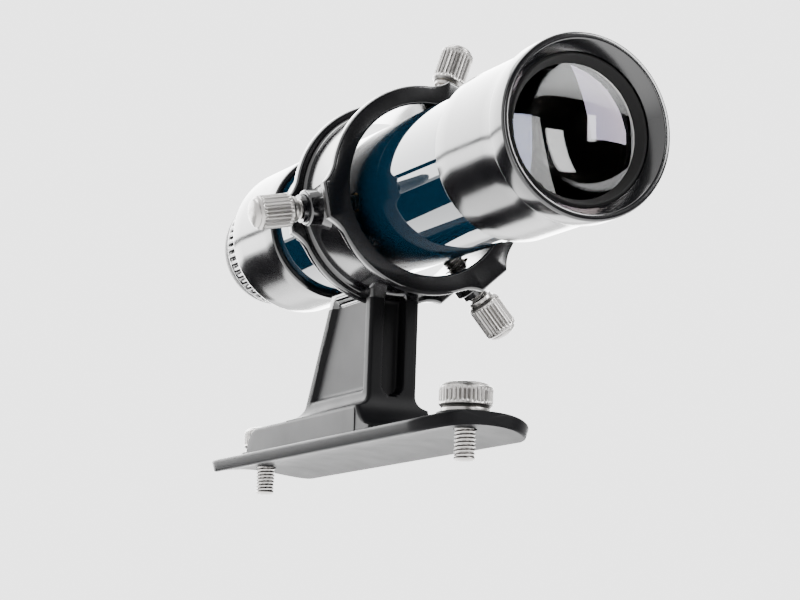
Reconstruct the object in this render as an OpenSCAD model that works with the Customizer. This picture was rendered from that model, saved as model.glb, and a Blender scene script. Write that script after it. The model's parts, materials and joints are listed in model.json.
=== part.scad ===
// Optical finder scope, 5x24 class: tube, objective, focusing eyepiece and a three-screw bracket.
// Origin: on the foot's seat, midway between its two screws. +Z up, the objective faces -Y.

/* [Optical tube] */
// Height of the optical axis above the seat
axis_h = 48; // [42:0.5:60]
// Front rim to the middle of the bracket ring
front_len = 71; // [65:1:85]
// Middle of the bracket ring to the back face of the rear collar
rear_len = 55; // [52:1:70]
// Outer diameter of the painted tube
tube_d = 28.5; // [27:0.1:29]
// Wall of the painted tube
tube_wall = 1; // [0.8:0.1:1.4]

/* [Objective] */
// Clear aperture
aperture_d = 24; // [20:0.5:24.4]
// Outer diameter of the front lip
lip_d = 33; // [32.4:0.1:36]
// Length of the front lip
lip_len = 5; // [4:0.5:7]
// Outer diameter of the sleeve behind the lip
sleeve_d = 31.6; // [31:0.1:32]
// Rim to the back edge of the sleeve
sleeve_len = 27; // [24:1:34]
// Diameter of the lens elements
lens_d = 26; // [25.4:0.1:26.4]

/* [Eyepiece] */
// Outer diameter of the rear collar
collar_d = 31; // [30.6:0.1:32]
// Length of the rear collar
collar_len = 22; // [20:1:26]
// Diameter of the focusing barrel's thread
barrel_d = 21; // [20:0.5:22]
// Diameter of the knurled focusing grip
grip_d = 25; // [24:0.5:27]
// Length of the knurled focusing grip
grip_len = 8; // [6:0.5:10]
// Focusing travel each way
focus_travel = 1.5; // [1:0.1:2]

/* [Bracket] */
// Width of the bracket ring along the tube
ring_w = 20; // [18:1:22]
// Bore of the bracket ring
ring_bore_d = 33.6; // [32.8:0.1:34.4]
// Outer diameter of the web between the ring's flanges
web_d = 37; // [36.4:0.1:38]
// Outer diameter of the ring's flanges
flange_d = 41; // [40:0.5:43]
// Thickness of each flange
flange_t = 2.6; // [2:0.1:3.2]
// Turn of the three screws from straight up
screw_turn = -18; // [-24:1:0]
// Width of the stalk across the tube
stalk_w = 10.5; // [9:0.5:12]
// Middle of the ring to the stalk's front face
stalk_front = 4; // [2:0.5:6]
// Length of the stalk along the tube under the ring
stalk_top_len = 20; // [18:1:22]
// Length of the stalk along the tube where it meets the foot
stalk_foot_len = 35; // [30:1:38]

/* [Foot] */
// Length of the foot along the tube
foot_len = 112; // [108:1:120]
// Width of the foot
foot_w = 24; // [22:1:26]
// Thickness of the foot's curved plate
foot_t = 2.6; // [2.4:0.1:3.4]
// Height of the block around the stalk's root
block_h = 7; // [6:0.5:8]
// Length of that block behind the stalk
block_len = 21; // [18:1:22]
// Distance of the ring's middle ahead of the foot's middle
ring_lead = 20; // [18:0.5:21]
// Radius of the telescope tube that the foot sits on
saddle_r = 36; // [30:1:60]
// Distance between the foot's two screws
foot_pitch = 96; // [94:1:98]
// Clearance holes in the foot
foot_hole_d = 4.5; // [4.4:0.1:4.8]

/* [Screws] */
// Thread diameter of every screw
thread_d = 4; // [3.8:0.1:4]
// Diameter of the knurled heads on the ring's screws
head_d = 6.6; // [6:0.1:7.4]
// Length of those heads
head_len = 8.5; // [7.5:0.5:10]
// Diameter of the knurled heads on the foot's screws
foot_head_d = 10; // [9:0.5:11]
// Height of those heads
foot_head_len = 5; // [4:0.5:6]
// Length of thread below the foot's seat
foot_thread_out = 6; // [4:0.5:8]

/* [Hidden] */
$fn = 96;
fit = 0.05;                                   // radial clearance of a running thread
y_rim = -front_len;                           // front rim
y_tube_front = y_rim + 12;                    // tube's front end, inside the cell
y_tube_back = rear_len - 9;                   // tube's back end, inside the collar
y_stop = y_tube_front - 1.2;                  // aperture stop, against the tube's end
tube_r = tube_d / 2;
bore_r = tube_r - tube_wall;
lip_r = lip_d / 2;
sleeve_r = sleeve_d / 2;
ap_r = aperture_d / 2;
lens_r = lens_d / 2;
y_lens = y_rim + 5;                           // edge of the crown's front face
crown_edge = 1.7;
flint_edge = 2.2;
spacer_t = 0.3;
crown_r1 = 62;                                // front surface
crown_r2 = 46;                                // back surface, and the flint's front
field_r2 = 22;                                // field lens's back surface
seat_gap = 0.03;                              // air between a lens and the ring beside it
retainer_t = 2.4;
collar_r = collar_d / 2;
y_collar = rear_len - collar_len;
barrel_r = barrel_d / 2;
grip_r = grip_d / 2;
y_barrel = rear_len - 14;                     // barrel's front end
y_grip = rear_len + 1 + focus_travel;         // grip's front face, clear of the collar when focused in
y_eyecup = y_grip + grip_len;
eyecup_len = 5;
barrel_bore_r = barrel_r - 1.6;
y_reticle = y_collar + 3.5;                   // clear of the barrel when focused in
y_field = y_barrel + 3;                       // field lens
flat_edge = 1.6;                              // thickness of both eyepiece lenses at the edge
y_sleeve = y_field + flat_edge;
lens_gap = 13;                                // length of the sleeve between the two lenses
ring_bore_r = ring_bore_d / 2;
web_r = web_d / 2;
flange_r = flange_d / 2;
boss_r = 3.5;
boss_top = 22.4;                              // distance of a boss's face from the optical axis
flare_w = 2.4;                                // half width of a flange where it reaches a boss
flare_r = 7;                                  // fillet between flange and boss
insert_r = 2.7;
insert_len = 5;
thread_r = thread_d / 2;
plain_r = thread_r - 0.3;                     // plain shank above a foot screw's thread
tip_gap = 0.06;                               // screw tip to tube
head_r = head_d / 2;
head_base = boss_top + 2.8;
neck_r = 2.5;
neck_len = 0.8;
screw_angles = [90 + screw_turn, 210 + screw_turn, 330 + screw_turn];
stalk_top = axis_h - ring_bore_r - 1;
ring_y = -ring_lead;
stalk_y = ring_y + stalk_front;                // stalk's front face
block_w = foot_w - 8;
seat_edge_z = sqrt(pow(saddle_r, 2) - pow(foot_w / 2, 2)) - saddle_r;
foot_ys = [-foot_pitch / 2, foot_pitch / 2];
foot_head_r = foot_head_d / 2;
pad_top = foot_t + 0.3;                       // flat pads under the foot screws' washers
washer_t = 0.8;
washer_r = 4.6;
black = [0.05, 0.05, 0.06];
steel = [0.78, 0.78, 0.8];
brass = [0.72, 0.6, 0.32];

// Places its children on the optical axis at y, with their own +Z pointing backwards
module on_axis(y) {
    translate([0, ring_y + y, axis_h]) rotate([-90, 0, 0]) children();
}

// Places its children at angle a round the optical axis, with their own +Z pointing outwards
module on_screw(a) {
    translate([0, ring_y, axis_h]) rotate([0, 90 - a, 0]) children();
}

// Tube of length h between two radii
module ring(r_out, r_in, h) {
    rotate_extrude() translate([r_in, 0]) square([r_out - r_in, h]);
}

// Height of a spherical surface of radius r above its edge, at distance x from the middle
function sag(r, edge, x) = sqrt(r * r - x * x) - sqrt(r * r - edge * edge);

// Lens between an edge cylinder of height h and two caps: front bulge f and back bulge b (minus is hollow)
module lens(r_edge, h, f, b) {
    n = 16;
    front = [for (i = [0:n]) let (x = r_edge * i / n) [x, f == 0 ? 0 : -sign(f) * sag(abs(f), r_edge, x)]];
    back = [for (i = [n:-1:0]) let (x = r_edge * i / n)
        [x, h + (b == 0 ? 0 : sign(b) * sag(abs(b), r_edge, x))]];
    rotate_extrude() polygon(concat(front, back));
}

// Straight-knurled cylinder with a domed end, base at z = 0
module knurled_head(r, h, n, dome) {
    tooth = 0.35;
    difference() {
        rotate_extrude() polygon([
            [0, 0], [r - 0.7, 0], [r, 0.7], [r, h - dome - 0.4], [r - 0.5, h - dome],
            for (i = [1:6]) [(r - 0.5) * cos(15 * i), h - dome + dome * sin(15 * i)]]);
        for (i = [0:n - 1]) rotate([0, 0, 360 * i / n])
            translate([r + 0.1, 0, 1]) rotate([0, 0, 45]) cube([tooth * 1.4, tooth * 1.4, h - dome - 2.4]);
    }
}

// ---------------------------------------------------------------- bracket

// Flange outline: a disc whose rim sweeps out to the three bosses
module flange_outline() {
    circle(r = flange_r);
    sunk = 0.15;                              // keeps the fillet's end inside the disc
    cy = sqrt(pow(flange_r - sunk + flare_r, 2) - pow(flare_w + flare_r, 2));
    a0 = atan2(cy, flare_w + flare_r);
    n = 8;
    arc = [for (i = [0:n]) let (a = 180 + a0 - a0 * i / n)
        [flare_w + flare_r + flare_r * cos(a), cy + flare_r * sin(a)]];
    for (a = screw_angles) rotate(a - 90) intersection() {
        polygon(concat([[0, 0]], arc, [[flare_w, 40], [-flare_w, 40]],
            [for (i = [n:-1:0]) [-arc[i][0], arc[i][1]]]));
        translate([-20, 0]) square([40, boss_top - 0.4]);
    }
}

// Stalk seen from the side, in the YZ plane, drawn in by inset on every edge
module stalk_outline(inset) {
    low = block_h + inset * 0.8;
    slope = (stalk_foot_len - stalk_top_len) / (stalk_top - foot_t);
    polygon([[stalk_y + inset, stalk_top], [stalk_y + stalk_top_len - inset, stalk_top],
        [stalk_y + stalk_foot_len - slope * (low - foot_t) - inset, low], [stalk_y + inset, low]]);
}

module stalk() {
    pocket = 1.2;
    groove_w = 4.4;
    groove_depth = 2.4;
    groove_low = foot_t + 9;
    difference() {
        union() {
            translate([-stalk_w / 2, 0, 0]) rotate([90, 0, 90]) linear_extrude(stalk_w) stalk_outline(0);
            for (s = [-1, 1]) stalk_sweep(s);
            front_sweep();
        }
        for (s = [-1, 1])
            translate([s * (stalk_w / 2 + 5 - pocket) - 5, 0, 0])
                rotate([90, 0, 90]) linear_extrude(10) stalk_outline(2.8);
        // round-ended groove down the front face
        translate([0, stalk_y + groove_depth, 0]) rotate([90, 0, 0]) {
            translate([-groove_w / 2, groove_low, 0]) cube([groove_w, stalk_top - 4 - groove_low, 10]);
            translate([0, groove_low, 0]) cylinder(d = groove_w, h = 10);
        }
    }
}

// Concave fillet along each side of the stalk's root
module stalk_sweep(s) {
    r = 2.6;
    n = 8;
    translate([s * stalk_w / 2, stalk_y + stalk_foot_len, block_h])
        rotate([90, 0, 0]) mirror([s < 0 ? 1 : 0, 0, 0]) linear_extrude(stalk_foot_len)
            polygon(concat([[-0.5, -0.5], [-0.5, r]],
                [for (i = [0:n]) let (a = 90 * i / n) [r - r * cos(a), r - r * sin(a)]], [[r, -0.5]]));
}

// Concave fillet from the stalk's front face down to the foot's plate
module front_sweep() {
    r = 7;
    n = 10;
    translate([-stalk_w / 2, stalk_y, foot_t - 0.4]) rotate([90, 0, 90]) linear_extrude(stalk_w)
        polygon(concat([[0.5, -0.5], [0.5, r]],
            [for (i = [0:n]) let (a = 90 * i / n) [-r + r * cos(a), r - r * sin(a)]], [[-r, -0.5]]));
}

// Saddle foot: a plate cut to the telescope tube below, with a block round the stalk's root
module foot() {
    low = seat_edge_z - 1;
    back_r = 5;
    block_end = stalk_y + stalk_foot_len + block_len;
    difference() {
        union() {
            intersection() {
                translate([0, 0, low]) linear_extrude(foot_t - low + 1) foot_outline();
                translate([0, 0, -saddle_r]) rotate([90, 0, 0])
                    cylinder(r = saddle_r + foot_t, h = foot_len + 2, center = true, $fn = 180);
            }
            for (y = foot_ys) translate([0, y, 0.5]) cylinder(r = washer_r + 0.9, h = pad_top - 0.5);
            // block, with its back edge rounded over
            translate([-block_w / 2, 0, 0]) rotate([90, 0, 90]) linear_extrude(block_w) polygon(concat(
                [[stalk_y, 0], [stalk_y, block_h]],
                [for (i = [0:8]) let (a = 90 - 90 * i / 8)
                    [block_end - back_r + back_r * cos(a), block_h - back_r + back_r * sin(a)]],
                [[block_end, 0]]));
        }
        translate([0, 0, -saddle_r]) rotate([90, 0, 0])
            cylinder(r = saddle_r, h = foot_len + 2, center = true, $fn = 180);
        for (s = [-1, 1]) translate([s * block_w / 2, 0, block_h]) rotate([0, 45, 0])
            cube([1.4, foot_len + 2, 1.4], center = true);
    }
}

module foot_outline() {
    r = 8;
    for (sx = [-1, 1]) for (sy = [-1, 1])
        translate([sx * (foot_w / 2 - r), sy * (foot_len / 2 - r)]) circle(r = r);
    square([foot_w - 2 * r, foot_len], center = true);
    square([foot_w, foot_len - 2 * r], center = true);
}

module bracket() {
    color(black) difference() {
        union() {
            // channel ring
            on_axis(-ring_w / 2) cylinder(r = web_r, h = ring_w);
            for (y = [-ring_w / 2, ring_w / 2 - flange_t])
                translate([0, ring_y + y + flange_t, axis_h]) rotate([90, 0, 0]) linear_extrude(flange_t)
                    flange_outline();
            for (a = screw_angles) on_screw(a) {
                cylinder(r = boss_r, h = boss_top);
                translate([-1.3, -ring_w / 2 + 0.5, 0]) cube([2.6, ring_w - 1, boss_top - 1.6]);
            }
            stalk();
            foot();
        }
        on_axis(-ring_w / 2 - 1) cylinder(r = ring_bore_r, h = ring_w + 2);
        for (a = screw_angles) on_screw(a) cylinder(r = insert_r, h = boss_top + 1);
        for (y = foot_ys) {
            translate([0, y, seat_edge_z]) cylinder(d = foot_hole_d, h = pad_top - seat_edge_z + 1);
            // countersink under the seat
            translate([0, y, -1]) cylinder(r1 = foot_hole_d / 2 + 2.4, r2 = foot_hole_d / 2, h = 2.4);
        }
    }
}

module boss_inserts() {
    color(brass) for (a = screw_angles) on_screw(a)
        translate([0, 0, boss_top - 0.2 - insert_len]) ring(insert_r, thread_r + fit, insert_len);
}

module foot_washers() {
    color(steel) for (y = foot_ys) translate([0, y, pad_top]) ring(washer_r, foot_hole_d / 2, washer_t);
}

// ---------------------------------------------------------------- tube and objective

module main_tube() {
    color([0.03, 0.13, 0.2]) on_axis(y_tube_front) ring(tube_r, bore_r, y_tube_back - y_tube_front);
}

module objective_cell() {
    y_seat = 5 + crown_edge + spacer_t + flint_edge;
    color(black) on_axis(y_rim) rotate_extrude() polygon([
        [lip_r - 1.3, 0], [lip_r - 0.5, 0], [lip_r, 0.5],
        [lip_r, lip_len - 0.4], [lip_r - 0.4, lip_len], [sleeve_r, lip_len],
        [sleeve_r, sleeve_len - 0.3], [sleeve_r - 0.3, sleeve_len], [tube_r, sleeve_len],
        [tube_r, 12], [tube_r, 10.8], [tube_r - 0.9, 10.8], [tube_r - 0.9, y_seat + 0.9],
        [ap_r + 0.2, y_seat + 0.9], [ap_r + 0.2, y_seat], [lens_r, y_seat], [lens_r, 5], [lens_r + 0.6, 5],
        [lens_r + 0.6, 5 - retainer_t]]);
}

module objective_retainer() {
    back = retainer_t - sag(crown_r1, lens_r, ap_r) - seat_gap;    // follows the crown's bulge
    color(black) on_axis(y_rim + 5 - retainer_t) difference() {
        rotate_extrude() polygon([
            [ap_r, back - 0.4], [ap_r, back], [lens_r, retainer_t], [lens_r + 0.6, retainer_t],
            [lens_r + 0.6, 0.5], [lens_r + 0.2, 0]]);
        for (a = [0, 180]) rotate([0, 0, a]) translate([lens_r - 0.9, -0.6, -1]) cube([3, 1.2, 1.8]);
    }
}

module crown_lens() {
    color([0.35, 0.45, 0.6, 0.5]) on_axis(y_lens) lens(lens_r, crown_edge, crown_r1, crown_r2);
}

module lens_spacer() {
    rise = sag(crown_r2, lens_r, ap_r + 0.3);
    color(steel) on_axis(y_lens + crown_edge) rotate_extrude() polygon([
        [lens_r, 0], [lens_r, spacer_t - seat_gap],
        [ap_r + 0.3, rise + spacer_t - seat_gap], [ap_r + 0.3, rise + seat_gap]]);
}

module flint_lens() {
    color([0.4, 0.45, 0.5, 0.5]) on_axis(y_lens + crown_edge + spacer_t)
        lens(lens_r, flint_edge, -crown_r2, 0);
}

module aperture_stop() {
    color(black) on_axis(y_stop) ring(tube_r, ap_r - 0.6, 1.2);
}

module tube_baffle() {
    color(black) on_axis(-20) ring(bore_r, 8.5, 1.2);
}

// ---------------------------------------------------------------- rear collar and eyepiece

module rear_collar() {
    y0 = y_tube_back - y_collar;
    color(black) on_axis(y_collar) rotate_extrude() polygon([
        [tube_r, 0], [collar_r - 0.5, 0], [collar_r, 0.5], [collar_r, collar_len - 1.2],
        [collar_r - 1.2, collar_len], [barrel_r + fit, collar_len],
        [barrel_r + fit, y0 + 0.6], [bore_r - 1, y0 + 0.6], [bore_r - 1, y0], [tube_r, y0]]);
}

module reticle_ring() {
    color(black) on_axis(y_reticle) ring(bore_r, 7.5, 1.6);
}

module cross_wires() {
    w = 0.12;
    color(steel) translate([0, ring_y + y_reticle + 1.6 + w / 2, axis_h]) {
        cube([21, w, w], center = true);
        cube([w, w, 21], center = true);
    }
}

module reticle_retainer() {
    color(brass) on_axis(y_reticle + 1.6 + 0.12) ring(bore_r, bore_r - 2, 1.4);
}

module field_lens() {
    color([0.4, 0.45, 0.5, 0.5]) on_axis(y_field) lens(barrel_bore_r, flat_edge, 0, field_r2);
}

module lens_sleeve() {
    wall = 1.2;
    rise = sag(field_r2, barrel_bore_r, barrel_bore_r - wall) + seat_gap;
    color(black) on_axis(y_sleeve) rotate_extrude() polygon([
        [barrel_bore_r, 0], [barrel_bore_r, lens_gap],
        [barrel_bore_r - wall, lens_gap], [barrel_bore_r - wall, rise]]);
}

module eye_lens() {
    color([0.4, 0.45, 0.5, 0.5]) on_axis(y_sleeve + lens_gap) lens(barrel_bore_r, flat_edge, 0, 0);
}

module eyepiece_barrel() {
    y1 = y_grip - y_barrel;
    y2 = y_eyecup - y_barrel;
    y_stop_in = y_field - y_barrel;
    n = 48;
    color(black) on_axis(y_barrel) difference() {
        rotate_extrude() polygon([
            [barrel_bore_r - 1.4, 0], [barrel_r - 0.4, 0], [barrel_r, 0.4], [barrel_r, y1],
            [grip_r - 0.6, y1], [grip_r, y1 + 0.6], [grip_r, y2 - 0.6], [grip_r - 0.6, y2],
            [barrel_bore_r + fit, y2], [barrel_bore_r + fit, y_stop_in - fit],
            [barrel_bore_r - 1.4, y_stop_in - fit]]);
        for (i = [0:n - 1]) rotate([0, 0, 360 * i / n]) translate([grip_r + 0.15, 0, y1 + 1.2])
            rotate([0, 0, 45]) cube([0.7, 0.7, grip_len - 2.4]);
    }
}

module eyepiece_retainer() {
    y0 = y_sleeve + lens_gap + flat_edge + fit;
    color(black) on_axis(y0) ring(barrel_bore_r, barrel_bore_r - 2.4, 1.6);
}

module eyecup() {
    r = grip_r - 0.4;
    color([0.08, 0.08, 0.08]) on_axis(y_eyecup) rotate_extrude() polygon([
        [6.5, 0], [r, 0], [r, 1.6], [r - 0.5, 3.8], [r - 1.2, eyecup_len - 0.3], [r - 2, eyecup_len],
        [r - 2.6, eyecup_len - 0.5], [r - 2.8, 3], [8, 1.8], [6.5, 1.6]]);
}

// ---------------------------------------------------------------- screws

// Threaded shank of a ring screw, from just off the tube to the inside of its head
module ring_shank(a) {
    tip = tube_r + tip_gap;
    color(steel) on_screw(a) rotate_extrude() polygon([
        [0, tip], [thread_r - 0.6, tip], [thread_r, tip + 0.6],
        [thread_r, head_base + 4], [0, head_base + 4]]);
}

// Knurled head of a ring screw, bored for its shank
module ring_head(a) {
    color(steel) on_screw(a) difference() {
        union() {
            translate([0, 0, head_base]) knurled_head(head_r, head_len, 24, 1.2);
            translate([0, 0, head_base - neck_len]) cylinder(r = neck_r, h = neck_len + 0.1);
        }
        translate([0, 0, head_base - 2]) cylinder(r = thread_r + 0.02, h = 6.02);
    }
}

module top_screw_shank() { ring_shank(screw_angles[0]); }
module left_screw_shank() { ring_shank(screw_angles[1]); }
module right_screw_shank() { ring_shank(screw_angles[2]); }
module top_screw_head() { ring_head(screw_angles[0]); }
module left_screw_head() { ring_head(screw_angles[1]); }
module right_screw_head() { ring_head(screw_angles[2]); }

// Shank of a foot screw: thread below the seat, plain above it
module foot_shank(y) {
    top = pad_top + washer_t + 3;
    color(steel) translate([0, y, 0]) rotate_extrude() polygon([
        [0, -foot_thread_out], [thread_r - 0.6, -foot_thread_out], [thread_r, -foot_thread_out + 0.6],
        [thread_r, 0], [plain_r, 0.2], [plain_r, top], [0, top]]);
}

// Knurled head of a foot screw, bored for its shank
module foot_head(y) {
    z = pad_top + washer_t + 0.05;
    color(steel) translate([0, y, z]) difference() {
        knurled_head(foot_head_r, foot_head_len, 32, 0.8);
        translate([0, 0, -1]) cylinder(r = plain_r + 0.02, h = 3.97);
    }
}

module front_foot_shank() { foot_shank(foot_ys[0]); }
module rear_foot_shank() { foot_shank(foot_ys[1]); }
module front_foot_head() { foot_head(foot_ys[0]); }
module rear_foot_head() { foot_head(foot_ys[1]); }

bracket();
boss_inserts();
foot_washers();
main_tube();
objective_cell();
objective_retainer();
crown_lens();
lens_spacer();
flint_lens();
aperture_stop();
tube_baffle();
rear_collar();
reticle_ring();
cross_wires();
reticle_retainer();
field_lens();
lens_sleeve();
eye_lens();
eyepiece_barrel();
eyepiece_retainer();
eyecup();
top_screw_shank();
top_screw_head();
left_screw_shank();
left_screw_head();
right_screw_shank();
right_screw_head();
front_foot_shank();
front_foot_head();
rear_foot_shank();
rear_foot_head();
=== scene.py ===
"""Looks of a small finder scope: tube, objective, eyepiece, three-screw bracket and the studio round them."""

import json
import math

import bmesh
import bpy
import numpy as np
from bpy.props import FloatProperty, FloatVectorProperty, IntProperty, PointerProperty, StringProperty
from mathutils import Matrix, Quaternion, Vector


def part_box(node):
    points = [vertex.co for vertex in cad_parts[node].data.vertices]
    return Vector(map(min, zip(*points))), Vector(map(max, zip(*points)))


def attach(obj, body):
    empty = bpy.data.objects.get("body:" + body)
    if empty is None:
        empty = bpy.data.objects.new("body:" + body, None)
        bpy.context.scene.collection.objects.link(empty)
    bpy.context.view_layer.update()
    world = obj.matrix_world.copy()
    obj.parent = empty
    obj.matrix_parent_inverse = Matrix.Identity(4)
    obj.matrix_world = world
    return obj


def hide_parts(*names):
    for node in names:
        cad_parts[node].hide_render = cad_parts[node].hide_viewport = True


bl_info = {
    "name": "Finder scope",
    "version": (1, 0, 0),
    "blender": (4, 5, 0),
    "location": "3D View > Sidebar > Finder",
    "description": "Builds the visible pieces of a 5x24 finder scope round its CAD frame",
    "category": "Object",
}

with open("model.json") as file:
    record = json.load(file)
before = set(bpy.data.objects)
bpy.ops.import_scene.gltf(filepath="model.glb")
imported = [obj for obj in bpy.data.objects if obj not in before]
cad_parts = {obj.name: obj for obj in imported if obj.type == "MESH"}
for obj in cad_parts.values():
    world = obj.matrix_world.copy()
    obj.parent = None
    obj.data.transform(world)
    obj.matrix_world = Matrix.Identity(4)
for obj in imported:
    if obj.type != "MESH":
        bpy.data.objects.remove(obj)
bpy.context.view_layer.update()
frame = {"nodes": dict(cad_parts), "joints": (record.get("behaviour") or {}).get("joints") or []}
MM = 0.001


# ---------------------------------------------------------------- sizes taken from the frame

def box_mm(node):
    """Lowest and highest corners of a CAD node, in millimetres, as arrays."""
    low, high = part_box(node)
    return np.array(low) / MM, np.array(high) / MM


TUBE_LOW, TUBE_HIGH = box_mm("main_tube")
CELL_LOW, CELL_HIGH = box_mm("objective_cell")
COLLAR_LOW, COLLAR_HIGH = box_mm("rear_collar")
BARREL_LOW, BARREL_HIGH = box_mm("eyepiece_barrel")
EYECUP_LOW, EYECUP_HIGH = box_mm("eyecup")
CROWN_LOW, CROWN_HIGH = box_mm("crown_lens")
FLINT_LOW = box_mm("flint_lens")[0]
WASHER_LOW, WASHER_HIGH = box_mm("foot_washers")
AXIS_Z = (TUBE_LOW[2] + TUBE_HIGH[2]) / 2
TUBE_R = (TUBE_HIGH[0] - TUBE_LOW[0]) / 2
LIP_R = (CELL_HIGH[0] - CELL_LOW[0]) / 2
COLLAR_R = (COLLAR_HIGH[0] - COLLAR_LOW[0]) / 2
GRIP_R = (BARREL_HIGH[0] - BARREL_LOW[0]) / 2
LENS_R = (CROWN_HIGH[0] - CROWN_LOW[0]) / 2
JOINTS = {joint["name"]: joint for joint in frame["joints"]}
RING_Y = JOINTS["tube_tilt"]["pos_m"][1] / MM
SCREWS = {side: np.array(JOINTS[side + "_screw_slide"]["axis"]) for side in ("top", "left", "right")}


# ---------------------------------------------------------------- what a user would change

class FinderSizes(bpy.types.PropertyGroup):
    """Sizes of the details that the frame doesn't give, in millimetres"""

    edge: FloatProperty(name="Edge rounding", description="Radius of moulded edges", default=0.5, min=0.1, max=1.0)
    sleeve_r: FloatProperty(name="Sleeve radius", description="Radius behind the front lip", default=15.8)
    lip_len: FloatProperty(name="Lip length", description="Length of the front lip", default=5.0)
    barrel_r: FloatProperty(name="Focusing thread", description="Radius of the focusing thread", default=10.5)
    head_knurls: IntProperty(name="Head knurls", description="Ridges round a ring screw's head", default=26)
    foot_knurls: IntProperty(name="Foot knurls", description="Ridges round a foot screw's head", default=36)
    grip_ribs: IntProperty(name="Grip ribs", description="Ribs round the focusing grip", default=48)
    pitch: FloatProperty(name="Thread pitch", description="Pitch of the screws' thread", default=0.7)
    turns: IntProperty(name="Facets", description="Steps round a turned piece", default=144, min=32, max=256)


class BracketSizes(bpy.types.PropertyGroup):
    """Sizes of the moulded bracket, in millimetres"""

    ring_bore: FloatProperty(name="Ring bore", description="Bore of the ring", default=33.6)
    ring_w: FloatProperty(name="Ring width", description="Width of the ring along the tube", default=20.0)
    web_r: FloatProperty(name="Web radius", description="Radius of the web between the flanges", default=18.5)
    flange_r: FloatProperty(name="Flange radius", description="Radius of the flanges", default=20.5)
    flange_t: FloatProperty(name="Flange thickness", description="Thickness of each flange", default=2.2)
    flare_half: FloatProperty(name="Flare", description="Half width of a flange at a boss's face", default=2.4)
    flare_fillet: FloatProperty(name="Flare fillet", description="Fillet between flange and boss", default=7.0)
    boss_r: FloatProperty(name="Boss radius", description="Radius of a screw's boss", default=3.5)
    boss_top: FloatProperty(name="Boss height", description="Boss's face from the optical axis", default=22.4)
    insert_r: FloatProperty(name="Insert radius", description="Radius of a boss's bore", default=2.7)
    stalk_w: FloatProperty(name="Stalk width", description="Width of the stalk", default=10.5)
    stalk_front: FloatProperty(name="Stalk front", description="Stalk's front face behind the ring's middle",
                               default=4.0)
    stalk_top_len: FloatProperty(name="Stalk top", description="Length of the stalk under the ring", default=20.0)
    stalk_foot_len: FloatProperty(name="Stalk root", description="Length of the stalk at the foot", default=35.0)
    side_sweep: FloatProperty(name="Side sweep", description="Concave fillet at the stalk's sides", default=2.6)
    front_sweep: FloatProperty(name="Front sweep", description="Concave fillet in front of the stalk", default=7.0)
    pocket: FloatProperty(name="Pocket", description="Depth of the recess in the stalk's sides", default=1.0)
    groove_w: FloatProperty(name="Groove width", description="Width of the groove in the front face", default=4.4)
    groove_depth: FloatProperty(name="Groove depth", description="Depth of the front groove", default=2.4)
    foot_len: FloatProperty(name="Foot length", description="Length of the foot", default=112.0)
    foot_w: FloatProperty(name="Foot width", description="Width of the foot", default=24.0)
    foot_t: FloatProperty(name="Foot thickness", description="Thickness of the foot", default=2.6)
    corner_r: FloatProperty(name="Foot corner", description="Corner radius of the foot", default=8.0)
    saddle_r: FloatProperty(name="Saddle radius", description="Radius the foot sits on", default=36.0)
    block_h: FloatProperty(name="Block height", description="Height of the root block", default=7.0)
    block_len: FloatProperty(name="Block length", description="Block behind the stalk's root", default=21.0)


class FinderColours(bpy.types.PropertyGroup):
    """Colours of the finishes, as sRGB hex"""

    black: StringProperty(name="Moulding", description="Gloss black ABS", default="#050506")
    blue: StringProperty(name="Tube", description="Dark blue enamel", default="#02101a")
    nickel: StringProperty(name="Screws", description="Nickel plate", default="#82807e")
    inside: StringProperty(name="Inside", description="Matt black", default="#080808")
    rubber: StringProperty(name="Eyecup", description="Soft black rubber", default="#141414")
    brass: StringProperty(name="Inserts", description="Turned brass", default="#b8954a")
    floor: StringProperty(name="Floor", description="Pale floor", default="#f4f4f4")


def sizes():
    """The scene's size settings."""
    return bpy.context.scene.finder_sizes


def bracket_sizes():
    """The scene's bracket settings."""
    return bpy.context.scene.bracket_sizes


def colours():
    """The scene's colour settings."""
    return bpy.context.scene.finder_colours


# ---------------------------------------------------------------- surfaces

def unit(v):
    """Vectors along the last axis, brought to length one."""
    return v / np.linalg.norm(v, axis=-1, keepdims=True)


def rounded(outline, radius, steps=6):
    """Closed outline with each corner replaced by an arc tangent to both its sides.

    The arc's centre lies on the corner's bisector at radius / sin(half angle), and the arc runs between the two
    tangent points by spherical interpolation of the radius vector.
    """
    p = np.asarray(outline, float)
    r = np.broadcast_to(np.asarray(radius, float), (len(p),))[:, None]
    a = unit(np.roll(p, 1, 0) - p)
    b = unit(np.roll(p, -1, 0) - p)
    half = np.arccos(np.clip((a * b).sum(1, keepdims=True), -1, 1)) / 2
    centre = p + unit(a + b) * r / np.sin(half)
    start = p + a * r / np.tan(half) - centre
    end = p + b * r / np.tan(half) - centre
    sweep = (math.pi - 2 * half)[:, None]
    k = np.linspace(0, 1, steps)[None, :, None]
    arc = (np.sin((1 - k) * sweep) * start[:, None] + np.sin(k * sweep) * end[:, None]) / np.sin(sweep)
    return (centre[:, None] + arc).reshape(-1, 2)


def divided(outline, count):
    """Closed outline with side i cut into count[i] equal pieces, by linear interpolation."""
    p = np.asarray(outline, float)
    q = np.roll(p, -1, 0)
    side = np.repeat(np.arange(len(p)), count)
    place = np.arange(len(side)) - np.repeat(np.cumsum(count) - count, count)
    k = (place / count[side])[:, None]
    return p[side] * (1 - k) + q[side] * k


def dense(outline, step):
    """Closed outline with each long side cut into pieces no longer than step."""
    p = np.asarray(outline, float)
    lengths = np.linalg.norm(np.roll(p, -1, 0) - p, axis=1)
    return divided(p, np.maximum(1, np.ceil(lengths / step)).astype(int))


def long_sides(counts, corner_steps=6):
    """How many pieces each side of a rounded outline is cut into: arcs stay whole, straight sides as given."""
    return np.concatenate([[1] * (corner_steps - 1) + [count] for count in counts])


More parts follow.
